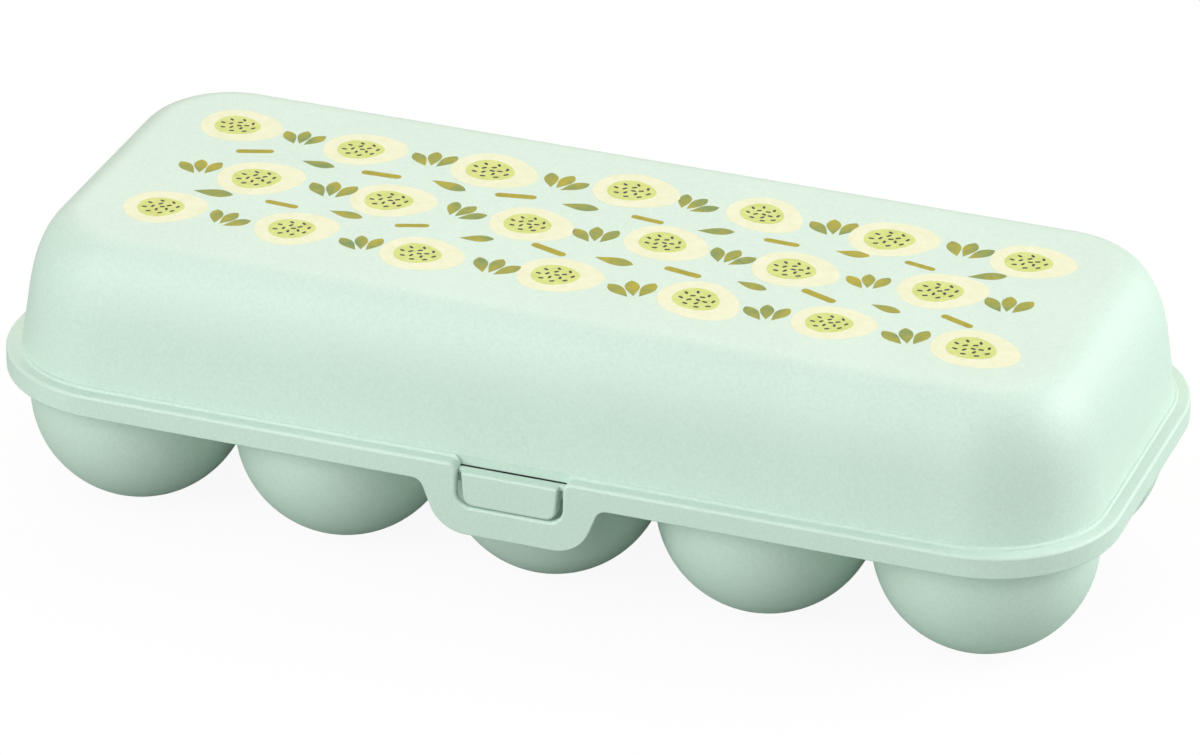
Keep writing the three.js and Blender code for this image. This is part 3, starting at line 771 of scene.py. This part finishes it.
def film(name, outlines, layer):
    """One ink's share of a motif: flat shapes of closed (x, y) outlines, as films on a given layer."""
    points, faces = [], []
    for outline in outlines:
        first, count = len(points), len(outline)
        points += [(x, y, (z + layer) * FILM) for z in (0, 1) for x, y in outline]
        faces += [list(range(first, first + count))[::-1], list(range(first + count, first + 2 * count))]
        faces += [[first + i, first + (i + 1) % count, first + count + (i + 1) % count, first + count + i]
                  for i in range(count)]
    return mesh_object(name, points, faces)


def placed(outline, degrees, x=0.0, y=0.0):
    """An outline turned about the origin and then moved."""
    c, s = math.cos(math.radians(degrees)), math.sin(math.radians(degrees))
    return [(x + u * c - v * s, y + u * s + v * c) for u, v in outline]


def egg(length, width, sides=64):
    """An egg's outline along X, with its blunt end to the left."""
    angles = [2 * math.pi * i / sides for i in range(sides)]
    return [(length / 2 * math.cos(a), width / 2 * math.sin(a) * (1 - EGG_TAPER * math.cos(a)))
            for a in angles]


def blade(length, width, steps=12):
    """A blade from the origin along X, widest past its middle."""
    spine = [length * s / steps for s in range(steps + 1)]
    half = [width / 2 * math.sin(math.pi * (u / length) ** BLADE_FULLNESS) ** BLADE_ROUNDNESS
            for u in spine[:-1]] + [0]
    return list(zip(spine, half)) + [(u, -v) for u, v in list(zip(spine, half))[-2:0:-1]]


def dash(length, width, steps=5):
    """A short stroke along X with round ends."""
    arc = [math.pi * s / steps - math.pi / 2 for s in range(steps + 1)]
    reach = (length - width) / 2
    right_end = [(reach + width / 2 * math.cos(a), width / 2 * math.sin(a)) for a in arc]
    return right_end + [(-u, -v) for u, v in right_end]


EGG_LENGTH, EGG_WIDTH, YOLK_LENGTH, YOLK_WIDTH, YOLK_X = 19.8, 16.2, 11.0, 9.6, -1.1
SPECK_LENGTH, SPECK_WIDTH, SPECK_TURN, SPECK_OVAL = 1.25, 0.62, 18, 0.8
SPECK_RINGS = ((0.3, 1, 0), (2.0, 5, 20), (3.9, 8, 40))  # radius, number of specks, first bearing
TUFT_LENGTH, TUFT_BLADE_WIDTH, TUFT_GAP, TUFT_SPREAD = 7.2, 3.2, 2.4, 31
LEAF_LENGTH, LEAF_WIDTH, ROD_LENGTH, ROD_WIDTH = 8.4, 3.3, 8.6, 1.8
speck_places = [(radius, math.radians(360 / count * n + first))
                for radius, count, first in SPECK_RINGS for n in range(count)]
specks = [placed(dash(SPECK_LENGTH, SPECK_WIDTH), SPECK_TURN * k, YOLK_X + r * math.cos(a),
                 SPECK_OVAL * r * math.sin(a)) for k, (r, a) in enumerate(speck_places)]
tuft_blade = [(TUFT_GAP + u, v) for u, v in blade(TUFT_LENGTH, TUFT_BLADE_WIDTH)]
motifs = {
    "egg": (film("egg", [egg(EGG_LENGTH, EGG_WIDTH)], 0), CREAM),
    "yolk": (film("yolk", [[(x + YOLK_X, y) for x, y in egg(YOLK_LENGTH, YOLK_WIDTH)]], 1), LIME),
    "specks": (film("specks", specks, 2), CHARCOAL),
    "tuft": (film("tuft", [placed(tuft_blade, 90 + a, 0, -TUFT_GAP - TUFT_LENGTH / 2)
                           for a in (-TUFT_SPREAD, 0, TUFT_SPREAD)], 0), OLIVE_SAGE),
    "leaf": (film("leaf", [placed(blade(LEAF_LENGTH, LEAF_WIDTH), 0, -LEAF_LENGTH / 2)], 0), OLIVE_SAGE),
    "rod": (film("rod", [dash(ROD_LENGTH, ROD_WIDTH)], 0), OLIVE),
}
print("motifs:", ", ".join(motifs))

# %% [markdown]
# Eggs and tufts take turns along three rows, with rods and leaves on the two rows between them. Yolks and
# specks are set out with the same values and the same seed as the eggs, so each lands on its own egg. They
# could be placed by hand, but a seed gives the same loose scatter each time.

# %% Print
PITCH_X, PITCH_Y, HALF_FIELD = 31.8, 22.5, 100.0
field = {"Columns": 7, "Column pitch": PITCH_X * MM, "Row pitch": PITCH_Y * MM, "Centre Y": CENTRE_Y * MM,
         "Height": DOME_TOP_Z * MM, "Half field": HALF_FIELD * MM}
eggs = {**field, "Rows": 3, "Turn": math.radians(32), "Wander": 1.1 * MM, "Size spread": 0.05, "Seed": 11}
tufts = {**field, "Rows": 3, "Start X": -PITCH_X / 2 * MM, "Turn": math.radians(24), "Wander": 0.4 * MM,
         "Size spread": 0.06, "Seed": 23}
rods = {**field, "Rows": 2, "Start X": -PITCH_X / 4 * MM, "Turn": math.radians(26), "Wander": 0.5 * MM,
        "Size spread": 0.12, "Seed": 37}
leaves = {**rods, "Start X": PITCH_X / 4 * MM, "Turn": math.radians(24), "Seed": 41}
for label, values in (("egg", eggs), ("yolk", eggs), ("specks", eggs), ("tuft", tufts), ("leaf", leaves),
                      ("rod", rods)):
    motif, ink = motifs[label]
    layer = run_tree(f"print_{label}", print_tree, {**values, "Motif": motif, "Ink": ink})
    layer.data.shade_flat()
    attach(layer, "lid")
    print(layer.name, len(layer.data.polygons), "faces")
for motif, ink in motifs.values():
    bpy.data.objects.remove(motif)

# %% [markdown]
# The box stands on a pale sweep. It keeps a soft shadow, and its white comes from the camera's view of it
# rather than from more light on the plastic. What it throws back up is a softer grey with a trace of the
# box's own mint, because the cups' undersides and the floor light each other.

# %% Floor and surroundings
FLOOR_HALF, PAPER_ROUGHNESS = 3.0, 0.9
CAMERA_WHITE, MIRROR_WHITE, ROOM_LIGHT = 0.93, 0.04, 0.04
floor_mesh = bpy.data.meshes.new("floor")
floor_mesh.from_pydata([(x * FLOOR_HALF, y * FLOOR_HALF, 0) for x, y in ((-1, -1), (1, -1), (1, 1), (-1, 1))],
                       [], [(0, 1, 2, 3)])
floor = bpy.data.objects.new("floor", floor_mesh)
bpy.context.scene.collection.objects.link(floor)
paper, paper_tree, paper_shader = new_material("matt pale paper sweep")
paper_shader.inputs["Roughness"].default_value = PAPER_ROUGHNESS
seen = add_node(paper_tree, "ShaderNodeLightPath").outputs["Is Camera Ray"]
shade = add_node(paper_tree, "ShaderNodeMix", {
    "Factor": seen, "A": linear("#A9B3AC"), "B": linear("#FAFAFA")}, data_type="RGBA")
paper_tree.links.new(shade.outputs["Result"], paper_shader.inputs["Base Color"])


def white_share(tree, camera_share, mirror_share):
    """How white a surface looks: one share to the camera, another to rays from glossy or clear surfaces."""
    ray = add_node(tree, "ShaderNodeLightPath").outputs
    mirrored = add_node(tree, "ShaderNodeMath", {0: ray["Is Glossy Ray"], 1: ray["Is Transmission Ray"]},
                        operation="MAXIMUM")
    reflected = add_node(tree, "ShaderNodeMath", {0: mirrored.outputs[0], 1: mirror_share},
                         operation="MULTIPLY")
    direct = add_node(tree, "ShaderNodeMath", {0: ray["Is Camera Ray"], 1: camera_share},
                      operation="MULTIPLY")
    return add_node(tree, "ShaderNodeMath", {0: direct.outputs[0], 1: reflected.outputs[0]},
                    operation="MAXIMUM").outputs[0]


glow = add_node(paper_tree, "ShaderNodeEmission", {"Color": linear("#FFFFFF"), "Strength": 1.0})
lit = add_node(paper_tree, "ShaderNodeMixShader", {
    0: white_share(paper_tree, CAMERA_WHITE, MIRROR_WHITE), 1: paper_shader.outputs[0], 2: glow.outputs[0]})
paper_tree.links.new(lit.outputs[0], paper_tree.nodes["Material Output"].inputs["Surface"])
floor.data.materials.append(paper)

world = bpy.context.scene.world or bpy.data.worlds.new("studio")
bpy.context.scene.world = world
world.use_nodes = True
sky = world.node_tree
sky.nodes.clear()
level = add_node(sky, "ShaderNodeMapRange", {
    "Value": white_share(sky, 1.0, MIRROR_WHITE), "To Min": ROOM_LIGHT, "To Max": 1.0})
room = add_node(sky, "ShaderNodeBackground", {"Color": linear("#FFFFFF"), "Strength": level.outputs[0]})
add_node(sky, "ShaderNodeOutputWorld", {"Surface": room.outputs[0]})
print("paper sweep", 2 * FLOOR_HALF, "m square, room light", ROOM_LIGHT)

# %% [markdown]
# Five soft boxes light it, each given by its bearing and height as seen from the box: a key a little to the
# left of the front, one above it for the shoulder, one beyond the right end, and two warm panels behind,
# a high one and a low one, whose glancing reflection is the pale sheen on the flat top. All are wide, because
# a small lamp would leave a hard, burnt-out streak on satin plastic. Each lamp's power follows from the
# brightness wanted and its size.

# %% Lamps
AIM, WARM_WHITE = Vector((0, 0, 0.04)), "#FFEBE4"


def soft_box(name, bearing, height, distance, wide, tall, brightness, tint="#FFFFFF"):
    """An area lamp, placed by degrees to the right of the front and degrees up, and aimed at the box."""
    across, up = math.radians(bearing), math.radians(height)
    place = AIM + distance * Vector((math.sin(across) * math.cos(up), -math.cos(across) * math.cos(up),
                                     math.sin(up)))
    lamp = bpy.data.lights.new(name, "AREA")
    lamp.shape, lamp.size, lamp.size_y = "RECTANGLE", wide, tall
    lamp.color = linear(tint)[:3]
    lamp.energy = math.pi * wide * tall * brightness
    made = bpy.data.objects.new(name, lamp)
    made.location = place
    made.rotation_euler = (AIM - place).to_track_quat("-Z", "Y").to_euler()
    bpy.context.scene.collection.objects.link(made)
    print(name, round(lamp.energy, 1), "W")


soft_box("key box", bearing=-29, height=21, distance=1.6, wide=1.5, tall=1.2, brightness=3.3)
soft_box("high box", bearing=-12, height=62, distance=1.6, wide=1.5, tall=1.2, brightness=1.75)
soft_box("right box", bearing=112, height=23, distance=1.6, wide=1.8, tall=1.2, brightness=4.3)
soft_box("high back panel", bearing=-165, height=55, distance=1.6, wide=1.4, tall=1.4, brightness=1.7,
         tint=WARM_WHITE)
soft_box("low back panel", bearing=-143, height=28, distance=1.7, wide=2.0, tall=1.2, brightness=0.75,
         tint=WARM_WHITE)

# %% [markdown]
# The camera stands where the photograph was taken, found by matching the cups, the skirt and the top's
# outline. It is a long lens from about 1.7 m, a little to the right and well above, with a trace of roll.

# %% Camera
LENS_MM, SENSOR_MM, NEAREST, FARTHEST = 218.81, 36, 0.01, 50
CAMERA_PLACE = Vector((486.081, -1375.350, 790.443)) * MM
CAMERA_RIGHT = Vector((0.94056398, 0.33940089, 0.01210123))
CAMERA_UP = Vector((-0.16680887, 0.43064398, 0.8869727))
lens = bpy.data.cameras.new("camera")
lens.lens, lens.sensor_width, lens.clip_start, lens.clip_end = LENS_MM, SENSOR_MM, NEAREST, FARTHEST
camera = bpy.data.objects.new("camera", lens)
bpy.context.scene.collection.objects.link(camera)
camera.matrix_world = Matrix.Translation(CAMERA_PLACE) @ Matrix(
    (CAMERA_RIGHT, CAMERA_UP, CAMERA_RIGHT.cross(CAMERA_UP))).transposed().to_4x4()
bpy.context.scene.camera = camera
print("camera", round(CAMERA_PLACE.length, 2), "m from the middle of the box's foot")
bpy.context.scene.view_settings.view_transform = "Standard"
